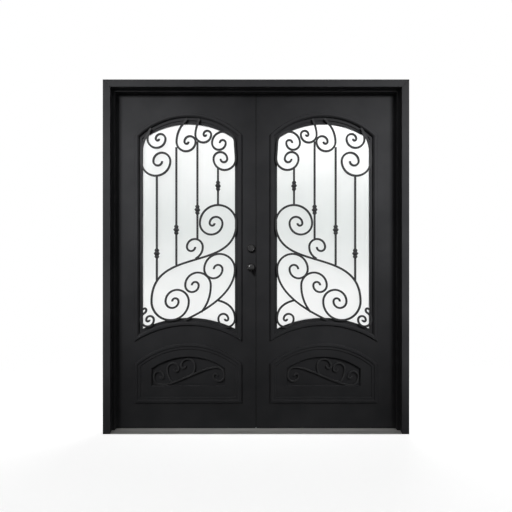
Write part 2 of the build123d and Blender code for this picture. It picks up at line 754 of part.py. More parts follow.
# Kick panel
def kick_panel():
    """A box panel, open to the stiles, with a sunk field pressed into its street face."""
    wall = LEAF_WALL
    hollow_face = panel(KICK_BOTTOM + wall, KICK_CROWN) & disc(KICK_RADIUS - wall, KICK_RADIUS, KICK_CROWN)
    hollow = slab(hollow_face, LEAF_FRONT + wall, BACK - wall)
    hollow -= slab(field_outline(-wall - FIELD_BEVEL), LEAF_FRONT, FIELD_FLOOR + wall)
    body = slab(kick_outline(), LEAF_FRONT, BACK) - hollow
    body -= slab(field_outline(), LEAF_FRONT, FIELD_FLOOR)
    return body - frustum(field_outline(), LEAF_FRONT + FIELD_BEVEL, field_outline(-FIELD_BEVEL), LEAF_FRONT)


def kick_moulding():
    """A raised trim like the light's, with a second step down to the panel."""
    crest, step = LEAF_FRONT - MOULDING_HEIGHT, LEAF_FRONT - KICK_STEP_HEIGHT
    bevel_edge = MOULDING_BEVEL - MOULDING_LAP
    top_edge = bevel_edge + MOULDING_TOP
    step_edge = top_edge + KICK_STEP_WIDTH
    flat_edge = step_edge + KICK_FLAT_WIDTH
    foot_edge = flat_edge + KICK_FOOT_WIDTH
    body = frustum(kick_outline(-MOULDING_LAP), LEAF_FRONT, kick_outline(bevel_edge), crest)
    body -= frustum(kick_outline(step_edge), step, kick_outline(top_edge), crest)
    return body - frustum(kick_outline(foot_edge), LEAF_FRONT, kick_outline(flat_edge), step)


def kick_scroll():
    """The scroll in the sunk field, welded to its floor."""
    face = Sketch()
    for scroll in scroll_faces(
        FIELD_GROUND, KICK_VOLUTE_SHARES, KICK_PAIR_SHARES, KICK_STEM_SHARES, KICK_BAR_WIDTH
    ):
        face += scroll
    return slab(face & field_outline(), FIELD_FLOOR - KICK_BAR_DEPTH, FIELD_FLOOR)


# Lock
def turned(profile, z, face, outward):
    """A turned piece on the lock's line: radius and reach from a leaf face, outward to street or room."""
    body = revolve(Plane.XZ * profile, axis=Axis.Z)
    return Pos(LOCK_X, face, z) * Rot(90 if outward == STREET else -90, 0, 0) * body


def rose(z, face, outward):
    bore = NECK_RADIUS + LOCK_CLEARANCE
    profile = polygon(
        (bore, 0),
        (ROSE_RADIUS, 0),
        (ROSE_RADIUS, ROSE_THICKNESS - ROSE_BEVEL),
        (ROSE_RADIUS - ROSE_BEVEL, ROSE_THICKNESS),
        (bore, ROSE_THICKNESS),
    )
    return turned(profile, z, face, outward)


def knob(face, outward):
    """A round knob on a waisted neck, bored square for the spindle."""
    neck_end = KNOB_REACH - KNOB_DEPTH
    profile = polygon(
        (0, 0),
        (NECK_RADIUS, 0),
        (NECK_RADIUS, neck_end),
        (KNOB_RADIUS, neck_end + KNOB_FLARE),
        (KNOB_RADIUS, KNOB_REACH - KNOB_CROWN),
        (KNOB_RADIUS - KNOB_CROWN, KNOB_REACH),
        (0, KNOB_REACH),
    )
    socket = SPINDLE_WIDTH + LOCK_CLEARANCE
    hole = Pos(LOCK_X, face, KNOB_HEIGHT) * Box(socket, 2 * neck_end, socket)
    return turned(profile, KNOB_HEIGHT, face, outward) - hole


def spindle():
    """A square bar between the knobs, with a round hub in the lock case."""
    reach = KNOB_REACH - KNOB_DEPTH
    bar = block(
        LOCK_X - SPINDLE_WIDTH / 2,
        LOCK_X + SPINDLE_WIDTH / 2,
        LEAF_FRONT - reach,
        BACK + reach,
        KNOB_HEIGHT - SPINDLE_WIDTH / 2,
        KNOB_HEIGHT + SPINDLE_WIDTH / 2,
    )
    half = CASE_THICKNESS / 2
    return bar + cross_rod(HUB_RADIUS, LOCK_X, KNOB_HEIGHT, LEAF_MIDDLE - half, LEAF_MIDDLE + half)


def stirrup_bolt(z, height, thickness, throw):
    """A flat bolt, drawn back, with a window that lets it travel past its hub."""
    room = HUB_RADIUS + HUB_SPACE
    window_end = LOCK_X - room - throw
    front, back = LEAF_MIDDLE - thickness / 2, LEAF_MIDDLE + thickness / 2
    low, high = z - height / 2, z + height / 2
    bolt = block(window_end - BOLT_BRIDGE, LOCK_EDGE - BOLT_SETBACK, front, back, low, high)
    return bolt - block(window_end, LOCK_X + room, front - OVERRUN, back + OVERRUN, z - room, z + room)


def latch_bolt():
    """The spring latch, with its nose bevelled on the side that meets the strike."""
    nose = LOCK_EDGE - BOLT_SETBACK
    front = LEAF_MIDDLE - LATCH_THICKNESS / 2
    wedge = polygon((nose - LATCH_BEVEL, front), (nose, front), (nose, front + LATCH_THICKNESS - LATCH_TIP))
    low, high = KNOB_HEIGHT - LATCH_HEIGHT / 2, KNOB_HEIGHT + LATCH_HEIGHT / 2
    cut = extrude(Plane.XY.offset(low - OVERRUN) * wedge, amount=high - low + 2 * OVERRUN, dir=(0, 0, 1))
    return stirrup_bolt(KNOB_HEIGHT, LATCH_HEIGHT, LATCH_THICKNESS, LATCH_THROW) - cut


def deadbolt():
    return stirrup_bolt(DEADBOLT_HEIGHT, DEADBOLT_TALL, DEADBOLT_THICKNESS, DEADBOLT_THROW)


def bolt_slots(reach):
    """Clearance slots for both bolts, through a plate or a case front."""
    slots = []
    for z, height, thickness in (
        (KNOB_HEIGHT, LATCH_HEIGHT, LATCH_THICKNESS),
        (DEADBOLT_HEIGHT, DEADBOLT_TALL, DEADBOLT_THICKNESS),
    ):
        half_y, half_z = thickness / 2 + LOCK_CLEARANCE, height / 2 + LOCK_CLEARANCE
        slots.append(
            block(
                LOCK_EDGE - reach,
                LOCK_EDGE + OVERRUN,
                LEAF_MIDDLE - half_y,
                LEAF_MIDDLE + half_y,
                z - half_z,
                z + half_z,
            )
        )
    return slots


def slotted_plate():
    plate = lock_plate()
    for slot in bolt_slots(LEAF_WALL + OVERRUN):
        plate -= slot
    return plate


def lock_case():
    """A box behind the face plate, open towards it, with a hub hole in each side."""
    half = CASE_THICKNESS / 2
    rear = CASE_FRONT - CASE_LENGTH
    case = block(rear, CASE_FRONT, LEAF_MIDDLE - half, LEAF_MIDDLE + half, CASE_LOW, CASE_HIGH)
    case -= block(
        rear + CASE_WALL,
        CASE_FRONT + OVERRUN,
        LEAF_MIDDLE - half + CASE_WALL,
        LEAF_MIDDLE + half - CASE_WALL,
        CASE_LOW + CASE_WALL,
        CASE_HIGH - CASE_WALL,
    )
    for z in (KNOB_HEIGHT, DEADBOLT_HEIGHT):
        case -= cross_rod(
            HUB_RADIUS + LOCK_CLEARANCE, LOCK_X, z, LEAF_MIDDLE - half - OVERRUN, LEAF_MIDDLE + half + OVERRUN
        )
    return case


def cylinder_guard():
    bore = CYLINDER_RADIUS + LOCK_CLEARANCE
    profile = polygon(
        (bore, 0),
        (ROSE_RADIUS, 0),
        (ROSE_RADIUS, CYLINDER_REACH - GUARD_BEVEL),
        (ROSE_RADIUS - GUARD_BEVEL, CYLINDER_REACH),
        (bore, CYLINDER_REACH),
    )
    return turned(profile, DEADBOLT_HEIGHT, LEAF_FRONT, STREET)


def key_cylinder():
    """The lock cylinder, from its guard to the lock case, with a keyway in its face."""
    face = LEAF_FRONT - CYLINDER_REACH
    body = cross_rod(CYLINDER_RADIUS, LOCK_X, DEADBOLT_HEIGHT, face, LEAF_MIDDLE - CASE_THICKNESS / 2)
    half_width, half_height = KEYWAY_WIDTH / 2, KEYWAY_HEIGHT / 2
    return body - block(
        LOCK_X - half_width,
        LOCK_X + half_width,
        face - OVERRUN,
        face + KEYWAY_DEPTH,
        DEADBOLT_HEIGHT - half_height,
        DEADBOLT_HEIGHT + half_height,
    )


def thumb_turn():
    """A flat grip on a round neck, with its hub reaching into the lock case."""
    half = CASE_THICKNESS / 2
    shoulder = BACK + ROSE_THICKNESS
    hub = cross_rod(HUB_RADIUS, LOCK_X, DEADBOLT_HEIGHT, LEAF_MIDDLE - half + CASE_WALL, shoulder)
    neck = cross_rod(NECK_RADIUS, LOCK_X, DEADBOLT_HEIGHT, BACK, shoulder + LOCK_CLEARANCE)
    grip = extrude(SlotOverall(TURN_LENGTH, TURN_WIDTH, rotation=90), amount=TURN_REACH)
    grip = Pos(LOCK_X, shoulder + LOCK_CLEARANCE, DEADBOLT_HEIGHT) * Rot(-90, 0, 0) * grip
    return hub + neck + grip


# Flush bolts, drawn on the left and mirrored to the passive leaf
def flush_span(end, near, far):
    """Two heights measured back from the tip of the upper or the lower bolt, lowest first."""
    tip, away = FLUSH_ENDS[end]
    return sorted((tip + away * near, tip + away * far))


def flush_plate(end, growth=0):
    near = FLUSH_TAB_DROP - FLUSH_PLATE_HEIGHT / 2
    return edge_plate(FLUSH_PLATE_WIDTH, *flush_span(end, near, near + FLUSH_PLATE_HEIGHT), growth)


def flush_face(end):
    """A face plate with a slot for the thumb tab and a guide for the rod behind it."""
    near = FLUSH_TAB_DROP - FLUSH_PLATE_HEIGHT / 2
    low, high = flush_span(end, near, near + FLUSH_GUIDE)
    half = FLUSH_PLATE_WIDTH / 2
    rear = -FLUSH_X - FLUSH_ROD_RADIUS - LEAF_WALL
    plate = flush_plate(end)
    plate += block(rear, LOCK_EDGE - LEAF_WALL, LEAF_MIDDLE - half, LEAF_MIDDLE + half, low, high)
    plate -= rod(FLUSH_ROD_RADIUS + FLUSH_CLEARANCE, -FLUSH_X, LEAF_MIDDLE, low - OVERRUN, high + OVERRUN)
    slot_low, slot_high = flush_span(
        end,
        FLUSH_TAB_DROP - FLUSH_TAB_HEIGHT / 2 - FLUSH_THROW - FLUSH_CLEARANCE,
        FLUSH_TAB_DROP + FLUSH_TAB_HEIGHT / 2 + FLUSH_CLEARANCE,
    )
    half_slot = FLUSH_TAB_THICKNESS / 2 + FLUSH_CLEARANCE
    return plate - block(
        LOCK_EDGE - LEAF_WALL - OVERRUN,
        LOCK_EDGE + OVERRUN,
        LEAF_MIDDLE - half_slot,
        LEAF_MIDDLE + half_slot,
        slot_low,
        slot_high,
    )


def flush_bolt(end):
    """A round rod with a thumb tab that shows in the slot of its face plate."""
    low, high = flush_span(end, 0, FLUSH_ROD_LENGTH)
    half = FLUSH_TAB_THICKNESS / 2
    tab_low, tab_high = flush_span(
        end, FLUSH_TAB_DROP - FLUSH_TAB_HEIGHT / 2, FLUSH_TAB_DROP + FLUSH_TAB_HEIGHT / 2
    )
    tab = block(
        -FLUSH_X, LOCK_EDGE - BOLT_SETBACK, LEAF_MIDDLE - half, LEAF_MIDDLE + half, tab_low, tab_high
    )
    return rod(FLUSH_ROD_RADIUS, -FLUSH_X, LEAF_MIDDLE, low, high) + tab


def meeting_seal():
    front = LEAF_FRONT + SWEEP_INSET
    back = front + MEETING_SEAL_WIDTH
    return block(LOCK_EDGE, LOCK_EDGE + MEETING_SEAL_THICKNESS, front, back, LEAF_BOTTOM, LEAF_TOP)


# Write the nodes
def write_frame():
    jamb, stop = left_jamb(), left_stop()
    save("left_jamb", jamb)
    save("right_jamb", mirrored(jamb))
    save("head_jamb", head_jamb())
    save("left_stop", stop)
    save("right_stop", mirrored(stop))
    save("head_stop", head_stop())
    save("sill", sill())
    save("frame_seal", *frame_seal())
    save("keeper_plate", keeper_plate())
    halves = [jamb_hinge(height) for height in hinge_heights()]
    pins = [hinge_pin(height) for height in hinge_heights()]
    save("jamb_hinges", *halves, *[mirrored(half) for half in halves])
    save("hinge_pins", *pins, *[mirrored(pin) for pin in pins])


def write_leaf_pair(name, *solids):
    """Write a piece of the left leaf and its mirror image in the right leaf."""
    save(f"active_{name}", *solids)
    save(f"passive_{name}", *[mirrored(solid) for solid in solids])


def write_leaves():
    write_leaf_pair("hinge_stile", stile(HINGE_EDGE, LIGHT_LEFT))
    save("active_lock_stile", active_lock_stile())
    save("passive_lock_stile", mirrored(passive_lock_stile()))
    write_leaf_pair("top_rail", top_rail())
    write_leaf_pair("lock_rail", lock_rail())
    write_leaf_pair("bottom_rail", bottom_rail())
    write_leaf_pair("light_moulding", light_moulding())
    write_leaf_pair("glazing_ledge", glazing_ledge())
    write_leaf_pair("glass_panes", *glass_panes())
    write_leaf_pair("glass_spacer", glass_spacer())
    write_leaf_pair("glazing_bead", glazing_bead())
    write_leaf_pair("grille", grille())
    write_leaf_pair("grille_collars", *grille_collars())
    write_leaf_pair("kick_panel", kick_panel())
    write_leaf_pair("kick_moulding", kick_moulding())
    write_leaf_pair("kick_scroll", kick_scroll())
    write_leaf_pair("leaf_hinges", *[leaf_hinge(height) for height in hinge_heights()])
    write_leaf_pair("sweep", sweep_strip())


def write_lock():
    save("face_plate", slotted_plate())
    save("strike_plate", mirrored(slotted_plate()))
    save("lock_case", lock_case())
    save(
        "roses",
        rose(KNOB_HEIGHT, LEAF_FRONT, STREET),
        rose(KNOB_HEIGHT, BACK, ROOM),
        rose(DEADBOLT_HEIGHT, BACK, ROOM),
    )
    save("knobs", knob(LEAF_FRONT, STREET), knob(BACK, ROOM))
    save("spindle", spindle())
    save("latch_bolt", latch_bolt())
    save("deadbolt", deadbolt())
    save("cylinder_guard", cylinder_guard())
    save("key_cylinder", key_cylinder())
    save("thumb_turn", thumb_turn())


def write_flush_bolts():
    save("flush_faces", *[mirrored(flush_face(end)) for end in FLUSH_ENDS])
    for end in FLUSH_ENDS:
        save(f"{end}_flush_bolt", mirrored(flush_bolt(end)))
    save("meeting_seal", mirrored(meeting_seal()))


write_frame()
write_leaves()
write_lock()
write_flush_bolts()
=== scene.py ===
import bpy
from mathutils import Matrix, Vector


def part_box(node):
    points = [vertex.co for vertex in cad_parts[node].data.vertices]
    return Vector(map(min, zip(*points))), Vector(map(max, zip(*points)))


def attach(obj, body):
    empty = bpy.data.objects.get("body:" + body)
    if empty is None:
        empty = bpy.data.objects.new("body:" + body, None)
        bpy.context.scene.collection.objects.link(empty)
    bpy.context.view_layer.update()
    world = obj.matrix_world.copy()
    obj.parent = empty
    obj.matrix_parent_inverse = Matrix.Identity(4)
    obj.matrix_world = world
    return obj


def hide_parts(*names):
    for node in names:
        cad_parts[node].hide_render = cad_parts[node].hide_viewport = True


bl_info = {
    "name": "French Doors",
    "version": (1, 0, 0),
    "blender": (4, 5, 0),
    "location": "View3D > Sidebar > French Doors",
    "description": "Finishes a pair of steel entry doors with scroll grilles and sets the stage",
    "category": "Object",
}

from math import cos, pi, radians, sin

import bpy
from mathutils import Vector

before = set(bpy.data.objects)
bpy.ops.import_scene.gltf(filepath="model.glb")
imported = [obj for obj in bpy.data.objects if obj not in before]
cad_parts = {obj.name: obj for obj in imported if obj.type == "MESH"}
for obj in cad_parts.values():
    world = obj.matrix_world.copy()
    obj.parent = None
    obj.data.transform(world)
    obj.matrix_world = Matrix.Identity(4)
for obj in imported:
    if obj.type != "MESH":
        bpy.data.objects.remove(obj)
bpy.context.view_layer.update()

LEAVES = ("active", "passive")

# Nodes by finish, as they are named in the frame
LEAF_STEELWORK = (
    "hinge_stile",
    "lock_stile",
    "top_rail",
    "lock_rail",
    "bottom_rail",
    "light_moulding",
    "glazing_ledge",
    "glazing_bead",
    "kick_panel",
    "kick_moulding",
)
LEAF_MOULDINGS = ("light_moulding", "kick_moulding")
LEAF_IRONWORK = ("grille", "grille_collars", "kick_scroll")
FRAME_STEELWORK = ("left_jamb", "right_jamb", "head_jamb", "left_stop", "right_stop", "head_stop")
SEALS = ("frame_seal", "meeting_seal", "active_sweep", "passive_sweep")
LOCK_TRIM = ("roses", "cylinder_guard", "key_cylinder", "thumb_turn")
HARDWARE = (
    *LOCK_TRIM,
    "jamb_hinges",
    "hinge_pins",
    "active_leaf_hinges",
    "passive_leaf_hinges",
    "knobs",
)
BRIGHT_STEEL = (
    "face_plate",
    "lock_case",
    "strike_plate",
    "flush_faces",
    "keeper_plate",
    "latch_bolt",
    "deadbolt",
    "spindle",
    "upper_flush_bolt",
    "lower_flush_bolt",
)

# Places worked out from the frame, in metres
STREET_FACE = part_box("left_jamb")[0][1]
ROOM_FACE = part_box("left_jamb")[1][1]
FRAME_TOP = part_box("head_jamb")[1][2]
PIN_LOW, PIN_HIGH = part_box("hinge_pins")
HINGE_PIVOT = ((PIN_HIGH[0] - PIN_LOW[0]) - (PIN_HIGH[1] - PIN_LOW[1])) / 2

# Limits for picking, smoothing and rounding
SQUARE_ON = 0.9
SMOOTH_ANGLE = radians(40)
EDGE_ANGLE = radians(28)
EDGE_STEPS = 2
WELD_REACH = 0.00001

# The way a screw's head faces, as a turn about the vertical
TO_ROOM = 0.0
TO_RIGHT = -pi / 2
TO_LEFT = pi / 2


def leaf_nodes(names):
    """The names of one kind of piece on both leaves."""
    return [f"{leaf}_{name}" for leaf in LEAVES for name in names]


class PaintSettings(bpy.types.PropertyGroup):
    """The matte black coat on the steelwork."""

    deep: bpy.props.FloatVectorProperty(
        name="Deep tone",
        description="Darker tone of the coat",
        subtype="COLOR",
        default=(0.030, 0.0302, 0.0322),
    )
    worn: bpy.props.FloatVectorProperty(
        name="Worn tone",
        description="Paler tone of the coat",
        subtype="COLOR",
        default=(0.038, 0.0382, 0.0406),
    )
    forged_deep: bpy.props.FloatVectorProperty(
        name="Forged deep tone",
        description="Darker tone of the coat on forged bar",
        subtype="COLOR",
        default=(0.042, 0.0422, 0.0440),
    )
    forged_worn: bpy.props.FloatVectorProperty(
        name="Forged worn tone",
        description="Paler tone of the coat on forged bar",
        subtype="COLOR",
        default=(0.056, 0.0562, 0.0580),
    )
    smooth: bpy.props.FloatProperty(
        name="Smoothest", description="Lowest roughness", default=0.46, subtype="FACTOR"
    )
    chalky: bpy.props.FloatProperty(
        name="Chalkiest", description="Highest roughness", default=0.60, subtype="FACTOR"
    )
    sheen: bpy.props.FloatProperty(
        name="Sheen", description="Strength of the coat's mirror light", default=0.05, subtype="FACTOR"
    )
    edge: bpy.props.FloatProperty(
        name="Edge round", description="Rounding of trim edges", default=0.0011, unit="LENGTH"
    )


class GlassSettings(bpy.types.PropertyGroup):
    """The obscure glass of the lights, greyed across the middle of its height by a painted reflection."""

    clear: bpy.props.FloatVectorProperty(
        name="Clear tint", description="Paler tint", subtype="COLOR", default=(0.985, 0.99, 0.988)
    )
    # Greyer tint, used both for the glass's random mottle and for the painted reflection across its middle
    mottle_and_painted_reflection_tint: bpy.props.FloatVectorProperty(
        name="Cloudy tint", description="Greyer tint", subtype="COLOR", default=(0.885, 0.903, 0.897)
    )
    haze: bpy.props.FloatProperty(
        name="Haze", description="Roughness of the glass", default=0.28, subtype="FACTOR"
    )
    # Height and up-and-down spread of the painted reflection, a greyer band painted across the glass
    painted_reflection_height: bpy.props.FloatProperty(
        name="Cloud height", description="Height of the cloudiest part", default=1.28, unit="LENGTH"
    )
    reach: bpy.props.FloatProperty(
        name="Cloud reach", description="How far the cloud spreads up and down", default=0.46, unit="LENGTH"
    )


class MetalSettings(bpy.types.PropertyGroup):
    """The tones of bare metal and dark hardware."""

    sill_dark: bpy.props.FloatVectorProperty(
        name="Sill lines",
        description="Darker lines of the sill",
        subtype="COLOR",
        default=(0.46, 0.456, 0.44),
    )
    sill_pale: bpy.props.FloatVectorProperty(
        name="Sill", description="Paler tone of the sill", subtype="COLOR", default=(0.60, 0.596, 0.575)
    )
    spacer_dark: bpy.props.FloatVectorProperty(
        name="Spacer lines",
        description="Darker lines of the spacer",
        subtype="COLOR",
        default=(0.50, 0.50, 0.50),
    )
    spacer_pale: bpy.props.FloatVectorProperty(
        name="Spacer", description="Paler tone of the spacer", subtype="COLOR", default=(0.66, 0.66, 0.66)
    )
    steel_dark: bpy.props.FloatVectorProperty(
        name="Steel lines",
        description="Darker lines of bare steel",
        subtype="COLOR",
        default=(0.30, 0.30, 0.31),
    )
    steel_pale: bpy.props.FloatVectorProperty(
        name="Steel", description="Paler tone of bare steel", subtype="COLOR", default=(0.48, 0.48, 0.48)
    )
    satin_dark: bpy.props.FloatVectorProperty(
        name="Hardware",
        description="Dark tone of the hardware",
        subtype="COLOR",
        default=(0.024, 0.024, 0.025),
    )
    satin_rubbed: bpy.props.FloatVectorProperty(
        name="Rubbed hardware",
        description="Tone where hands rub",
        subtype="COLOR",
        default=(0.050, 0.049, 0.048),
    )
    trim_edge: bpy.props.FloatProperty(
        name="Trim round", description="Rounding of the lock trim's edges", default=0.0012, unit="LENGTH"
    )


class KnobSettings(bpy.types.PropertyGroup):
    """The turned door knobs."""

    neck: bpy.props.FloatProperty(
        name="Neck radius", description="Radius of the neck", default=0.010, unit="LENGTH"
    )
    reach: bpy.props.FloatProperty(
        name="Reach",
        description="From the leaf's face to the front of the grip",
        default=0.060,
        unit="LENGTH",
    )
    depth: bpy.props.FloatProperty(
        name="Depth", description="Length of the grip", default=0.036, unit="LENGTH"
    )
    fullness: bpy.props.FloatProperty(
        name="Fullness", description="Power of the grip's swell, where less is fuller", default=0.75
    )
    button: bpy.props.FloatProperty(
        name="Button", description="Share of the last ring left flat", default=0.2, subtype="FACTOR"
    )
    rings: bpy.props.IntProperty(name="Rings", description="Rings along the grip", default=14)
    sides: bpy.props.IntProperty(name="Sides", description="Sides round the grip", default=48)


class ScrewSettings(bpy.types.PropertyGroup):
    """The slotted screws in hinges and plates."""

    radius: bpy.props.FloatProperty(
        name="Head radius", description="Radius of a head", default=0.0042, unit="LENGTH"
    )
    rise: bpy.props.FloatProperty(
        name="Head rise", description="Height of a head", default=0.0009, unit="LENGTH"
    )
    crown: bpy.props.FloatProperty(
        name="Head crown", description="Rounding of a head's rim", default=0.0004, unit="LENGTH"
    )
    slot: bpy.props.FloatProperty(
        name="Slot width", description="Width of the slot", default=0.0012, unit="LENGTH"
    )
    turn: bpy.props.FloatProperty(
        name="Slot turn", description="Turn from one slot to the next", default=0.9, subtype="ANGLE"
    )
    sides: bpy.props.IntProperty(name="Sides", description="Sides round a head", default=24)
    hinge: bpy.props.FloatProperty(
        name="Hinge height", description="Height of a hinge", default=0.126, unit="LENGTH"
    )
    plate: bpy.props.FloatProperty(
        name="Hinge plate", description="Thickness of a hinge plate", default=0.004, unit="LENGTH"
    )
    near: bpy.props.FloatProperty(
        name="Near row", description="Pin to the nearer screws", default=0.017, unit="LENGTH"
    )
    far: bpy.props.FloatProperty(
        name="Far row", description="Pin to the farther screws", default=0.024, unit="LENGTH"
    )
    count: bpy.props.IntProperty(name="Hinge screws", description="Screws in a hinge plate", default=4)
    inset: bpy.props.FloatProperty(
        name="Plate inset", description="End of an edge plate to its screw", default=0.011, unit="LENGTH"
    )
    flush: bpy.props.FloatProperty(
        name="Flush plate", description="Length of a flush bolt's plate", default=0.120, unit="LENGTH"
    )


class SealSettings(bpy.types.PropertyGroup):
    """The rubber and the soft bulb between the leaves."""

    dark: bpy.props.FloatVectorProperty(
        name="Rubber",
        description="Darker tone of the rubber",
        subtype="COLOR",
        default=(0.018, 0.018, 0.018),
    )
    dusty: bpy.props.FloatVectorProperty(
        name="Dusty rubber",
        description="Paler tone of the rubber",
        subtype="COLOR",
        default=(0.026, 0.026, 0.026),
    )
    squeeze: bpy.props.FloatProperty(
        name="Squeeze",
        description="How far the bulb presses on the active leaf",
        default=0.0003,
        unit="LENGTH",
    )
    inset: bpy.props.FloatProperty(
        name="Inset", description="Back from the leaf's edges", default=0.002, unit="LENGTH"
    )
    tail: bpy.props.FloatProperty(
        name="Tail", description="Length of the flat tail", default=0.003, unit="LENGTH"
    )
    wall: bpy.props.FloatProperty(
        name="Wall", description="Wall of the hollow bulb", default=0.0009, unit="LENGTH"
    )
    hollow: bpy.props.FloatProperty(
        name="Hollow", description="Depth of the open ends", default=0.006, unit="LENGTH"
    )
    sides: bpy.props.IntProperty(name="Sides", description="Sides round the bulb", default=16)


class StageSettings(bpy.types.PropertyGroup):
    """Camera, floor and lights; places count outwards, ahead of the near face and above the frame's top."""

    distance: bpy.props.FloatProperty(
        name="Distance", description="Camera to the frame's street face", default=3.6, unit="LENGTH"
    )
    eye: bpy.props.FloatProperty(name="Eye height", description="Camera height", default=0.98, unit="LENGTH")
    width: bpy.props.FloatProperty(
        name="View width", description="Width seen at the frame's street face", default=3.054, unit="LENGTH"
    )
    lift: bpy.props.FloatProperty(name="Lift", description="Upward shift of the picture", default=0.0273)
    sensor: bpy.props.FloatProperty(
        name="Sensor", description="Sensor width in millimetres", default=36.0, unit="CAMERA"
    )
    floor: bpy.props.FloatProperty(
        name="Floor", description="Radius of the floor", default=7.0, unit="LENGTH"
    )
    floor_sides: bpy.props.IntProperty(name="Floor sides", description="Sides round the floor", default=96)
    floor_solid: bpy.props.FloatProperty(
        name="Solid floor", description="Radius where the floor starts to fade", default=1.0, unit="LENGTH"
    )
    floor_end: bpy.props.FloatProperty(
        name="Floor end", description="Radius where the floor has gone", default=3.5, unit="LENGTH"
    )
    floor_tone: bpy.props.FloatVectorProperty(
        name="Floor tone", description="Colour of the floor", subtype="COLOR", default=(0.36, 0.36, 0.36)
    )
    floor_glow: bpy.props.FloatProperty(
        name="Floor glow", description="White added to the floor", default=0.86, subtype="FACTOR"
    )
    key: bpy.props.FloatProperty(
        name="Key lights", description="Power of each key light", default=8.8, unit="POWER"
    )
    key_place: bpy.props.FloatVectorProperty(
        name="Key place",
        description="Place of the key lights",
        subtype="TRANSLATION",
        default=(2.1, 2.7, 0.8),
    )
    key_aim: bpy.props.FloatVectorProperty(
        name="Key aim",
        description="Where the key lights look",
        subtype="TRANSLATION",
        default=(0.64, 0.0, -0.68),
    )
    key_size: bpy.props.FloatProperty(
        name="Key size", description="Side of a key light", default=0.8, unit="LENGTH"
    )
    key_spread: bpy.props.FloatProperty(
        name="Key spread", description="Spread of a key light", default=radians(42), subtype="ANGLE"
    )
    jamb: bpy.props.FloatProperty(
        name="Jamb lights", description="Power of the low light on each jamb", default=1.25, unit="POWER"
    )
    jamb_place: bpy.props.FloatVectorProperty(
        name="Jamb place",
        description="Place of the jamb lights",
        subtype="TRANSLATION",
        default=(0.9, 2.2, -1.5),
    )
    jamb_aim: bpy.props.FloatVectorProperty(
        name="Jamb aim",
        description="Where the jamb lights look",
        subtype="TRANSLATION",
        default=(0.9, 0.0, -1.5),
    )
    fill: bpy.props.FloatProperty(
        name="Fill light", description="Power of the fill light", default=11.0, unit="POWER"
    )
    fill_place: bpy.props.FloatVectorProperty(
        name="Fill place",
        description="Place of the fill light",
        subtype="TRANSLATION",
        default=(0.0, 2.1, 2.1),
    )
    fill_size: bpy.props.FloatProperty(
        name="Fill size", description="Side of the fill light", default=1.6, unit="LENGTH"
    )
    room: bpy.props.FloatProperty(
        name="Room light", description="Power of the room light", default=130.0, unit="POWER"
    )
    room_place: bpy.props.FloatVectorProperty(
        name="Room place",
        description="Place of the room light",
        subtype="TRANSLATION",
        default=(0.6, 2.6, 1.9),
    )
    room_size: bpy.props.FloatProperty(
        name="Room size", description="Side of the room light", default=2.4, unit="LENGTH"
    )
    aim: bpy.props.FloatVectorProperty(
        name="Aim",
        description="Where the other lights look",
        subtype="TRANSLATION",
        default=(0.0, 0.0, -1.05),
    )
    wide: bpy.props.FloatProperty(
        name="Wide spread", description="Spread of the other lights", default=pi, subtype="ANGLE"
    )
    ambient: bpy.props.FloatProperty(
        name="Ambient", description="Strength of the surrounding light", default=0.05
    )


class DoorSettings(bpy.types.PropertyGroup):
    """Everything that can be set on the doors."""

    paint: bpy.props.PointerProperty(type=PaintSettings, name="Paint", description="Coat on the steelwork")
    glass: bpy.props.PointerProperty(type=GlassSettings, name="Glass", description="Glass of the lights")
    metal: bpy.props.PointerProperty(type=MetalSettings, name="Metal", description="Bare metal and hardware")
    knob: bpy.props.PointerProperty(type=KnobSettings, name="Knobs", description="Turned door knobs")
    screw: bpy.props.PointerProperty(type=ScrewSettings, name="Screws", description="Screws in the plates")
    seal: bpy.props.PointerProperty(type=SealSettings, name="Seals", description="Rubber and meeting bulb")
    stage: bpy.props.PointerProperty(type=StageSettings, name="Stage", description="Camera, floor and lights")


# Material helpers
def blank_material(name):
    """A node material with its tree, its shader and its object coordinates."""
    material = bpy.data.materials.new(name)
    material.use_nodes = True
    tree = material.node_tree
    place = tree.nodes.new("ShaderNodeTexCoord").outputs["Object"]
    return material, tree, tree.nodes["Principled BSDF"], place


def stretched(tree, place, scale):
    """Object coordinates with a scale of their own on each axis."""
    mapping = tree.nodes.new("ShaderNodeMapping")
    mapping.inputs["Scale"].default_value = scale
    tree.links.new(place, mapping.inputs["Vector"])
    return mapping.outputs["Vector"]


def noise(tree, place, scale, detail=3.0, roughness=0.5):
    """Soft noise from 0 to 1."""
    node = tree.nodes.new("ShaderNodeTexNoise")
    node.inputs["Scale"].default_value = scale
    node.inputs["Detail"].default_value = detail
    node.inputs["Roughness"].default_value = roughness
    tree.links.new(place, node.inputs["Vector"])
    return node.outputs["Fac"]


def two_tones(tree, value, low, high, first, second):
    """A ramp from one colour to another between two values."""
    ramp = tree.nodes.new("ShaderNodeValToRGB")
    ramp.color_ramp.elements[0].position = low
    ramp.color_ramp.elements[1].position = high
    ramp.color_ramp.elements[0].color = (*first, 1)
    ramp.color_ramp.elements[1].color = (*second, 1)
    tree.links.new(value, ramp.inputs["Fac"])
    return ramp.outputs["Color"]


def between(tree, value, low, high, first=0.0, last=1.0):
    """A value from first to last, spread over the range from low to high."""
    node = tree.nodes.new("ShaderNodeMapRange")
    node.inputs["From Min"].default_value = first
    node.inputs["From Max"].default_value = last
    node.inputs["To Min"].default_value = low
    node.inputs["To Max"].default_value = high
    tree.links.new(value, node.inputs["Value"])
    return node.outputs["Result"]


def worked_out(tree, operation, first, second):
    """Two values, or a value and a number, put together by arithmetic."""
    node = tree.nodes.new("ShaderNodeMath")
    node.operation = operation
    tree.links.new(first, node.inputs[0])
    if isinstance(second, float):
        node.inputs[1].default_value = second
    else:
        tree.links.new(second, node.inputs[1])
    return node.outputs["Value"]


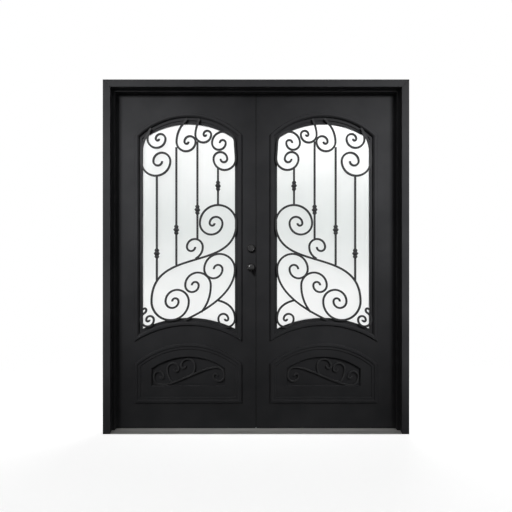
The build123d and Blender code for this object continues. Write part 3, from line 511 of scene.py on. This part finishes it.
def bump(tree, shader, height, strength, distance, under=None):
    """Relief on a shader, over another relief where one is given."""
    node = tree.nodes.new("ShaderNodeBump")
    node.inputs["Strength"].default_value = strength
    node.inputs["Distance"].default_value = distance
    tree.links.new(height, node.inputs["Height"])
    if under:
        tree.links.new(under, node.inputs["Normal"])
    tree.links.new(node.outputs["Normal"], shader.inputs["Normal"])
    return node.outputs["Normal"]


def dress(names, material):
    """Give CAD nodes a finish."""
    for name in names:
        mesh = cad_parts[name].data
        mesh.materials.clear()
        mesh.materials.append(material)


# Finishes
def black_coat(paint):
    """Matte black sprayed paint with a faint orange peel."""
    material, tree, shader, place = blank_material("black_coat")
    patches = noise(tree, place, scale=5.0)
    tone = two_tones(tree, patches, low=0.35, high=0.68, first=paint.deep, second=paint.worn)
    tree.links.new(tone, shader.inputs["Base Color"])
    gloss = between(tree, noise(tree, place, scale=28.0), low=paint.smooth, high=paint.chalky)
    tree.links.new(gloss, shader.inputs["Roughness"])
    shader.inputs["Specular IOR Level"].default_value = paint.sheen
    peel = noise(tree, place, scale=620.0, detail=2.0)
    bump(tree, shader, peel, strength=0.12, distance=0.0004)
    return material


def forged_coat(paint):
    """The same paint over forged bar, with shallow hammer marks."""
    material, tree, shader, place = blank_material("forged_coat")
    patches = noise(tree, place, scale=18.0)
    tone = two_tones(tree, patches, low=0.32, high=0.70, first=paint.forged_deep, second=paint.forged_worn)
    tree.links.new(tone, shader.inputs["Base Color"])
    gloss = between(tree, noise(tree, place, scale=60.0), low=paint.smooth, high=paint.chalky)
    tree.links.new(gloss, shader.inputs["Roughness"])
    shader.inputs["Specular IOR Level"].default_value = paint.sheen
    dents = tree.nodes.new("ShaderNodeTexVoronoi")
    dents.feature = "SMOOTH_F1"
    dents.inputs["Scale"].default_value = 95.0
    tree.links.new(place, dents.inputs["Vector"])
    under = bump(tree, shader, dents.outputs["Distance"], strength=0.25, distance=0.0009)
    peel = noise(tree, place, scale=700.0, detail=2.0)
    bump(tree, shader, peel, strength=0.10, distance=0.0003, under=under)
    return material


def rain_glass(glass):
    """Obscure glass with run-down ripples and random mottle, greyed most at the middle of its height by a
    painted reflection.
    """
    material, tree, shader, place = blank_material("rain_glass")
    # Painted reflection: a greyer band, strongest at its height and gone at its reach above and below
    split = tree.nodes.new("ShaderNodeSeparateXYZ")
    tree.links.new(place, split.inputs["Vector"])
    above = worked_out(tree, "SUBTRACT", split.outputs["Z"], glass.painted_reflection_height)
    away = tree.nodes.new("ShaderNodeMath")
    away.operation = "ABSOLUTE"
    tree.links.new(above, away.inputs[0])
    painted_reflection_band = between(tree, away.outputs["Value"], low=0.0, high=1.0, last=glass.reach)
    # Random mottle of the glass itself, added on top of the painted reflection band
    mottle = between(tree, noise(tree, place, scale=3.2, detail=6.0, roughness=0.62), low=-0.5, high=0.5)
    tone = worked_out(tree, "ADD", painted_reflection_band, mottle)
    tint = two_tones(tree, tone, low=0.15, high=0.95, first=glass.mottle_and_painted_reflection_tint, second=glass.clear)
    tree.links.new(tint, shader.inputs["Base Color"])
    shader.inputs["Transmission Weight"].default_value = 1.0
    shader.inputs["Roughness"].default_value = glass.haze
    shader.inputs["IOR"].default_value = 1.45
    runs = noise(tree, stretched(tree, place, scale=(60.0, 60.0, 13.0)), scale=1.0)
    bump(tree, shader, runs, strength=0.5, distance=0.003)
    return material


def seal_rubber(seal):
    """Dull black rubber with a little dust."""
    material, tree, shader, place = blank_material("seal_rubber")
    dust = noise(tree, place, scale=40.0)
    tone = two_tones(tree, dust, low=0.3, high=0.7, first=seal.dark, second=seal.dusty)
    tree.links.new(tone, shader.inputs["Base Color"])
    gloss = between(tree, noise(tree, place, scale=90.0), low=0.70, high=0.88)
    tree.links.new(gloss, shader.inputs["Roughness"])
    shader.inputs["Specular IOR Level"].default_value = 0.06
    grain = noise(tree, place, scale=900.0, detail=2.0)
    bump(tree, shader, grain, strength=0.15, distance=0.0003)
    return material


def mill_aluminium(name, dark, pale):
    """Drawn aluminium with fine lines along its length."""
    material, tree, shader, place = blank_material(name)
    lines = noise(tree, stretched(tree, place, scale=(3.0, 500.0, 500.0)), scale=1.0, detail=4.0)
    tone = two_tones(tree, lines, low=0.3, high=0.7, first=dark, second=pale)
    tree.links.new(tone, shader.inputs["Base Color"])
    gloss = between(tree, noise(tree, place, scale=22.0), low=0.38, high=0.6)
    tree.links.new(gloss, shader.inputs["Roughness"])
    shader.inputs["Metallic"].default_value = 0.6
    bump(tree, shader, lines, strength=0.12, distance=0.0003)
    return material


def satin_black(metal):
    """Dark satin hardware, rubbed a little paler in places."""
    material, tree, shader, place = blank_material("satin_black")
    wear = noise(tree, place, scale=70.0, detail=4.0)
    tone = two_tones(tree, wear, low=0.4, high=0.72, first=metal.satin_dark, second=metal.satin_rubbed)
    tree.links.new(tone, shader.inputs["Base Color"])
    gloss = between(tree, noise(tree, place, scale=140.0), low=0.19, high=0.30)
    tree.links.new(gloss, shader.inputs["Roughness"])
    shader.inputs["Metallic"].default_value = 0.6
    grain = noise(tree, place, scale=800.0, detail=2.0)
    bump(tree, shader, grain, strength=0.06, distance=0.0002)
    return material


def brushed_steel(metal):
    """Bare steel with upright brush lines."""
    material, tree, shader, place = blank_material("brushed_steel")
    lines = noise(tree, stretched(tree, place, scale=(700.0, 700.0, 14.0)), scale=1.0, detail=4.0)
    tone = two_tones(tree, lines, low=0.3, high=0.7, first=metal.steel_dark, second=metal.steel_pale)
    tree.links.new(tone, shader.inputs["Base Color"])
    gloss = between(tree, noise(tree, place, scale=50.0), low=0.26, high=0.44)
    tree.links.new(gloss, shader.inputs["Roughness"])
    shader.inputs["Metallic"].default_value = 1.0
    bump(tree, shader, lines, strength=0.10, distance=0.0002)
    return material


# Modelling helpers
def deselect():
    """Leave nothing selected."""
    bpy.ops.object.select_all(action="DESELECT")


def only(*pieces):
    """Select these pieces alone, with the first one active."""
    deselect()
    for piece in pieces:
        piece.select_set(True)
    bpy.context.view_layer.objects.active = pieces[0]


def choose_faces(piece, test):
    """Select the faces of the piece in edit mode that pass a test on their normal."""
    bpy.ops.object.mode_set(mode="EDIT")
    bpy.ops.mesh.select_mode(type="FACE")
    bpy.ops.mesh.select_all(action="DESELECT")
    bpy.ops.object.mode_set(mode="OBJECT")
    for face in piece.data.polygons:
        face.select = test(face.normal)
    bpy.ops.object.mode_set(mode="EDIT")


def draw_out(*move):
    """Extrude the selected faces."""
    bpy.ops.mesh.extrude_region_move(TRANSFORM_OT_translate={"value": move})


def settle(piece, name, body, material):
    """Put the piece's place into its mesh, name it and let it ride."""
    only(piece)
    bpy.ops.object.transform_apply(location=True, rotation=True, scale=True)
    piece.name = name
    piece.data.name = name
    piece.data.materials.clear()
    piece.data.materials.append(material)
    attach(piece, body)
    return piece


def soften(names, width):
    """Round the sharp edges of CAD nodes with live modifiers."""
    for name in names:
        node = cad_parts[name]
        weld = node.modifiers.new("weld", "WELD")
        weld.merge_threshold = WELD_REACH
        edge = node.modifiers.new("edge", "BEVEL")
        edge.width = width
        edge.segments = EDGE_STEPS
        edge.limit_method = "ANGLE"
        edge.angle_limit = EDGE_ANGLE


class DOOR_OT_paint_steelwork(bpy.types.Operator):
    """Coat the frame, the leaves and their mouldings"""

    bl_idname = "door.paint_steelwork"
    bl_label = "Paint Steelwork"

    def execute(self, context):
        paint = context.scene.french_doors.paint
        dress([*FRAME_STEELWORK, *leaf_nodes(LEAF_STEELWORK)], black_coat(paint))
        soften([*FRAME_STEELWORK, *leaf_nodes(LEAF_MOULDINGS)], paint.edge)
        return {"FINISHED"}


class DOOR_OT_finish_ironwork(bpy.types.Operator):
    """Coat the grilles, collars and kick scrolls"""

    bl_idname = "door.finish_ironwork"
    bl_label = "Finish Ironwork"

    def execute(self, context):
        paint = context.scene.french_doors.paint
        dress(leaf_nodes(LEAF_IRONWORK), forged_coat(paint))
        soften(leaf_nodes(LEAF_IRONWORK), paint.edge)
        return {"FINISHED"}


class DOOR_OT_glaze_lights(bpy.types.Operator):
    """Give the lights their obscure glass and the spacer its metal"""

    bl_idname = "door.glaze_lights"
    bl_label = "Glaze Lights"

    def execute(self, context):
        doors = context.scene.french_doors
        dress(leaf_nodes(["glass_panes"]), rain_glass(doors.glass))
        spacer = mill_aluminium("spacer_metal", doors.metal.spacer_dark, doors.metal.spacer_pale)
        dress(leaf_nodes(["glass_spacer"]), spacer)
        return {"FINISHED"}


class DOOR_OT_finish_seals(bpy.types.Operator):
    """Give the seals, sweeps and sill their finish"""

    bl_idname = "door.finish_seals"
    bl_label = "Finish Seals And Sill"

    def execute(self, context):
        doors = context.scene.french_doors
        dress(SEALS, seal_rubber(doors.seal))
        dress(["sill"], mill_aluminium("sill_metal", doors.metal.sill_dark, doors.metal.sill_pale))
        return {"FINISHED"}


class DOOR_OT_finish_lockwork(bpy.types.Operator):
    """Give the hinges, lock and bolts their finish"""

    bl_idname = "door.finish_lockwork"
    bl_label = "Finish Lockwork"

    def execute(self, context):
        metal = context.scene.french_doors.metal
        dress(HARDWARE, satin_black(metal))
        dress(BRIGHT_STEEL, brushed_steel(metal))
        soften(LOCK_TRIM, metal.trim_edge)
        return {"FINISHED"}


class DOOR_OT_turn_knobs(bpy.types.Operator):
    """Turn a smooth knob for each side of the active leaf"""

    bl_idname = "door.turn_knobs"
    bl_label = "Turn Knobs"

    def execute(self, context):
        knob = context.scene.french_doors.knob
        low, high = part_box("knobs")
        leaf_low, leaf_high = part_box("active_lock_stile")
        across, height = (low[0] + high[0]) / 2, (low[2] + high[2]) / 2
        full = (high[0] - low[0]) / 2
        street = turn_knob(knob, Vector((across, leaf_low[1], height)), -1, full)
        room = turn_knob(knob, Vector((across, leaf_high[1], height)), 1, full)
        only(street, room)
        bpy.ops.object.join()
        piece = settle(street, "turned_knobs", "knob_set", bpy.data.materials["satin_black"])
        bpy.ops.object.shade_smooth_by_angle(angle=SMOOTH_ANGLE)
        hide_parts("knobs")
        return {"FINISHED"}


def turn_knob(knob, seat, outward, full):
    """A neck with a round grip, drawn out ring by ring from a short cylinder."""
    neck_end = knob.reach - knob.depth
    deselect()
    bpy.ops.mesh.primitive_cylinder_add(
        vertices=knob.sides,
        radius=knob.neck,
        depth=neck_end,
        location=seat + Vector((0, outward * neck_end / 2, 0)),
        rotation=(pi / 2, 0, 0),
    )
    piece = bpy.context.object
    bpy.ops.object.transform_apply(location=True, rotation=True, scale=True)
    choose_faces(piece, lambda normal: normal.y * outward > SQUARE_ON)
    radius, reach = knob.neck, neck_end
    for ring in range(1, knob.rings + 1):
        angle = pi * ring / (knob.rings + 1)
        swell = sin(angle) ** knob.fullness
        next_radius = knob.neck + (full - knob.neck) * swell if angle < pi / 2 else full * swell
        next_reach = neck_end + knob.depth * (1 - cos(angle)) / 2
        next_ring(seat, outward, reach, next_reach, next_radius / radius)
        radius, reach = next_radius, next_reach
    next_ring(seat, outward, reach, knob.reach, knob.button)
    bpy.ops.mesh.select_all(action="SELECT")
    bpy.ops.mesh.normals_make_consistent(inside=False)
    bpy.ops.object.mode_set(mode="OBJECT")
    return piece


def next_ring(seat, outward, reach, next_reach, share):
    """Draw the selected end out to its next reach and resize it there."""
    draw_out(0, outward * (next_reach - reach), 0)
    middle = seat + Vector((0, outward * next_reach, 0))
    bpy.ops.transform.resize(value=(share, 1, share), center_override=middle)


class DOOR_OT_drive_screws(bpy.types.Operator):
    """Drive slotted screws into the hinges and the edge plates"""

    bl_idname = "door.drive_screws"
    bl_label = "Drive Screws"

    def execute(self, context):
        screw = context.scene.french_doors.screw
        pattern = model_screw(screw)
        jamb_screws = hinge_places("jamb_hinges", screw, 1)
        spread_screws(pattern, screw.turn, "frame_hinge_screws", "frame", jamb_screws, TO_ROOM)
        for leaf in LEAVES:
            leaf_screws = hinge_places(f"{leaf}_leaf_hinges", screw, -1)
            spread_screws(pattern, screw.turn, f"{leaf}_hinge_screws", f"{leaf}_leaf", leaf_screws, TO_ROOM)
        low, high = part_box("face_plate")
        lock_screws = plate_places(low, high, high[0], screw)
        spread_screws(pattern, screw.turn, "face_plate_screws", "active_leaf", lock_screws, TO_RIGHT)
        edge_screws = passive_edge_places(screw)
        spread_screws(pattern, screw.turn, "passive_plate_screws", "passive_leaf", edge_screws, TO_LEFT)
        only(pattern)
        bpy.ops.object.delete()
        return {"FINISHED"}


def model_screw(screw):
    """One bevelled head with a slot, standing on the origin and pointing to the room side."""
    deselect()
    bpy.ops.mesh.primitive_cylinder_add(
        vertices=screw.sides,
        radius=screw.radius,
        depth=screw.rise,
        location=(0, screw.rise / 2, 0),
        rotation=(pi / 2, 0, 0),
    )
    head = bpy.context.object
    bpy.ops.object.transform_apply(location=True, rotation=True, scale=True)
    choose_faces(head, lambda normal: normal.y > SQUARE_ON)
    bpy.ops.mesh.bevel(offset=screw.crown, segments=EDGE_STEPS)
    bpy.ops.object.mode_set(mode="OBJECT")
    deselect()
    bpy.ops.mesh.primitive_cube_add(size=1, location=(0, screw.rise, 0))
    cutter = bpy.context.object
    cutter.scale = (screw.slot, screw.rise, 2 * (screw.radius + screw.slot))
    bpy.ops.object.transform_apply(location=True, rotation=True, scale=True)
    only(head)
    slot = head.modifiers.new("slot", "BOOLEAN")
    slot.object = cutter
    slot.operation = "DIFFERENCE"
    bpy.ops.object.modifier_apply(modifier="slot")
    only(cutter)
    bpy.ops.object.delete()
    return head


def hinge_places(node, screw, outward):
    """Screw places on every hinge plate of a node, in a zigzag; outward is 1 for plates on the jambs."""
    low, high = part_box(node)
    first, last = low[2] + screw.hinge / 2, high[2] - screw.hinge / 2
    sides = [1] if low[0] > 0 else [-1] if high[0] < 0 else [-1, 1]
    face = low[1] + screw.plate
    pitch = screw.hinge / screw.count
    places = []
    for side in sides:
        for middle in (first, (first + last) / 2, last):
            for number in range(screw.count):
                across = HINGE_PIVOT + outward * (screw.far if number % 2 else screw.near)
                height = middle + (number - (screw.count - 1) / 2) * pitch
                places.append(Vector((side * across, face, height)))
    return places


def plate_places(low, high, face, screw):
    """A screw near each end of an edge plate."""
    middle = (low[1] + high[1]) / 2
    return [Vector((face, middle, height)) for height in (low[2] + screw.inset, high[2] - screw.inset)]


def passive_edge_places(screw):
    """The screws of the strike plate and of both flush bolt plates."""
    places = plate_places(*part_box("strike_plate"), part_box("strike_plate")[0][0], screw)
    low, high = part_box("flush_faces")
    upper_low = Vector((low[0], low[1], high[2] - screw.flush))
    lower_high = Vector((high[0], high[1], low[2] + screw.flush))
    places += plate_places(upper_low, high, low[0], screw)
    places += plate_places(low, lower_high, low[0], screw)
    return places


def spread_screws(pattern, slot_turn, name, body, places, facing):
    """Copies of the screw at every place, each with its own mesh, joined as one piece."""
    copies = []
    for number, place in enumerate(places):
        only(pattern)
        bpy.ops.object.duplicate(linked=False)
        copy = bpy.context.object
        copy.location = place
        copy.rotation_euler = (0, number * slot_turn, facing)
        copies.append(copy)
    only(*copies)
    bpy.ops.object.transform_apply(location=True, rotation=True, scale=True)
    bpy.ops.object.join()
    return settle(copies[0], name, body, bpy.data.materials["satin_black"])


class DOOR_OT_fit_meeting_bulb(bpy.types.Operator):
    """Fit the soft bulb that closes the gap between the leaves"""

    bl_idname = "door.fit_meeting_bulb"
    bl_label = "Fit Meeting Bulb"

    def execute(self, context):
        seal = context.scene.french_doors.seal
        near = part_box("active_lock_stile")[1][0]
        low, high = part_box("passive_lock_stile")
        width = low[0] - near + seal.squeeze
        deselect()
        bpy.ops.mesh.primitive_cylinder_add(
            vertices=seal.sides,
            radius=width / 2,
            depth=high[2] - low[2] - 2 * seal.inset,
            location=(low[0] - width / 2, low[1] + seal.inset + width / 2, (low[2] + high[2]) / 2),
        )
        bulb = bpy.context.object
        bpy.ops.object.transform_apply(location=True, rotation=True, scale=True)
        choose_faces(bulb, lambda normal: normal.y > SQUARE_ON)
        draw_out(0, seal.tail, 0)
        for end in (-1, 1):
            choose_faces(bulb, lambda normal: normal.z * end > SQUARE_ON)
            bpy.ops.mesh.inset(thickness=seal.wall)
            draw_out(0, 0, -end * seal.hollow)
        bpy.ops.object.mode_set(mode="OBJECT")
        settle(bulb, "meeting_bulb", "passive_leaf", bpy.data.materials["seal_rubber"])
        bpy.ops.object.shade_smooth_by_angle(angle=SMOOTH_ANGLE)
        return {"FINISHED"}


class DOOR_OT_set_stage(bpy.types.Operator):
    """Set the camera, floor, background and lights"""

    bl_idname = "door.set_stage"
    bl_label = "Set Stage"

    def execute(self, context):
        stage = context.scene.french_doors.stage
        context.scene.view_settings.view_transform = "Standard"
        set_camera(stage)
        lay_floor(stage)
        light_world(stage)
        for side, name in ((-1, "left"), (1, "right")):
            place, aim = street_place(stage.key_place, side), street_place(stage.key_aim, side)
            key = add_light(f"{name}_key_light", stage.key, stage.key_size, stage.key_spread, place, aim)
            keep_to(key, pieces_on(side))
            place, aim = street_place(stage.jamb_place, side), street_place(stage.jamb_aim, side)
            low = add_light(f"{name}_jamb_light", stage.jamb, stage.key_size, stage.key_spread, place, aim)
            keep_to(low, [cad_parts[f"{name}_jamb"]])
        aim = street_place(stage.aim)
        add_light("fill_light", stage.fill, stage.fill_size, stage.wide, street_place(stage.fill_place), aim)
        out, ahead, above = stage.room_place
        place = Vector((out, ROOM_FACE + ahead, FRAME_TOP + above))
        add_light("room_light", stage.room, stage.room_size, stage.wide, place, aim)
        return {"FINISHED"}


def street_place(offset, side=1):
    """A place on the street side: out from the middle, ahead of the frame's face, above its top."""
    return Vector((side * offset[0], STREET_FACE - offset[1], FRAME_TOP + offset[2]))


def set_camera(stage):
    """A level camera with the picture lifted, as the photograph is framed."""
    data = bpy.data.cameras.new("street_camera")
    data.sensor_width = stage.sensor
    data.lens = stage.sensor * stage.distance / stage.width
    data.shift_y = stage.lift
    camera = bpy.data.objects.new("street_camera", data)
    camera.location = (0, STREET_FACE - stage.distance, stage.eye)
    camera.rotation_euler = (pi / 2, 0, 0)
    bpy.context.scene.collection.objects.link(camera)
    bpy.context.scene.camera = camera


def lay_floor(stage):
    """A pale round floor that fades out into the white background."""
    deselect()
    bpy.ops.mesh.primitive_circle_add(
        vertices=stage.floor_sides, radius=stage.floor, fill_type="NGON", location=(0, 0, 0)
    )
    floor = bpy.context.object
    floor.name = "pale_floor"
    material, tree, shader, place = blank_material("pale_floor")
    shader.inputs["Base Color"].default_value = (*stage.floor_tone, 1)
    shader.inputs["Roughness"].default_value = 0.9
    shader.inputs["Emission Color"].default_value = (1, 1, 1, 1)
    seen = tree.nodes.new("ShaderNodeLightPath").outputs["Is Camera Ray"]
    glow = between(tree, seen, low=0.0, high=stage.floor_glow)
    tree.links.new(glow, shader.inputs["Emission Strength"])
    length = tree.nodes.new("ShaderNodeVectorMath")
    length.operation = "LENGTH"
    tree.links.new(place, length.inputs[0])
    away = length.outputs["Value"]
    fade = between(tree, away, low=0.0, high=1.0, first=stage.floor_solid, last=stage.floor_end)
    clear = tree.nodes.new("ShaderNodeBsdfTransparent")
    mix = tree.nodes.new("ShaderNodeMixShader")
    tree.links.new(fade, mix.inputs["Fac"])
    tree.links.new(shader.outputs["BSDF"], mix.inputs[1])
    tree.links.new(clear.outputs["BSDF"], mix.inputs[2])
    tree.links.new(mix.outputs["Shader"], tree.nodes["Material Output"].inputs["Surface"])
    floor.data.materials.append(material)


def light_world(stage):
    """A white surround where it is seen, mirrored or looked through, and a soft grey light elsewhere."""
    world = bpy.data.worlds.new("studio")
    world.use_nodes = True
    bpy.context.scene.world = world
    tree = world.node_tree
    background = tree.nodes["Background"]
    background.inputs["Color"].default_value = (1, 1, 1, 1)
    path = tree.nodes.new("ShaderNodeLightPath").outputs
    mirrored = worked_out(tree, "MAXIMUM", path["Is Camera Ray"], path["Is Glossy Ray"])
    seen = worked_out(tree, "MAXIMUM", mirrored, path["Is Transmission Ray"])
    strength = between(tree, seen, low=stage.ambient, high=1.0)
    tree.links.new(strength, background.inputs["Strength"])


def add_light(name, power, size, spread, place, aim):
    """A soft square light that faces a point."""
    data = bpy.data.lights.new(name, "AREA")
    data.shape = "SQUARE"
    data.size = size
    data.energy = power
    data.spread = spread
    light = bpy.data.objects.new(name, data)
    light.location = place
    light.rotation_euler = (aim - place).to_track_quat("-Z", "Y").to_euler()
    bpy.context.scene.collection.objects.link(light)
    return light


def pieces_on(side):
    """The pieces that reach one side of the meeting line."""
    meshes = [piece for piece in bpy.context.scene.objects if piece.type == "MESH"]
    return [piece for piece in meshes if max(side * corner[0] for corner in piece.bound_box) > 0]


def keep_to(light, pieces):
    """Let a light fall on these pieces alone."""
    group = bpy.data.collections.new(f"{light.name}_reach")
    for piece in pieces:
        group.objects.link(piece)
    light.light_linking.receiver_collection = group


class DOOR_PT_panel(bpy.types.Panel):
    """Lists the steps that finish the doors"""

    bl_idname = "DOOR_PT_panel"
    bl_label = "French Doors"
    bl_space_type = "VIEW_3D"
    bl_region_type = "UI"
    bl_category = "French Doors"

    def draw(self, context):
        for operator in OPERATORS:
            self.layout.operator(operator.bl_idname)


OPERATORS = (
    DOOR_OT_paint_steelwork,
    DOOR_OT_finish_ironwork,
    DOOR_OT_glaze_lights,
    DOOR_OT_finish_seals,
    DOOR_OT_finish_lockwork,
    DOOR_OT_turn_knobs,
    DOOR_OT_drive_screws,
    DOOR_OT_fit_meeting_bulb,
    DOOR_OT_set_stage,
)
CLASSES = (
    PaintSettings,
    GlassSettings,
    MetalSettings,
    KnobSettings,
    ScrewSettings,
    SealSettings,
    StageSettings,
    DoorSettings,
    *OPERATORS,
    DOOR_PT_panel,
)


def register():
    """Make the settings, the steps and the panel known."""
    for kind in CLASSES:
        bpy.utils.register_class(kind)
    bpy.types.Scene.french_doors = bpy.props.PointerProperty(type=DoorSettings)


def unregister():
    """Take them out again, last one first."""
    del bpy.types.Scene.french_doors
    for kind in reversed(CLASSES):
        bpy.utils.unregister_class(kind)


def main():
    """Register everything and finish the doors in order."""
    register()
    bpy.ops.door.paint_steelwork()
    bpy.ops.door.finish_ironwork()
    bpy.ops.door.glaze_lights()
    bpy.ops.door.finish_seals()
    bpy.ops.door.finish_lockwork()
    bpy.ops.door.turn_knobs()
    bpy.ops.door.drive_screws()
    bpy.ops.door.fit_meeting_bulb()
    bpy.ops.door.set_stage()


if __name__ == "__main__":
    main()
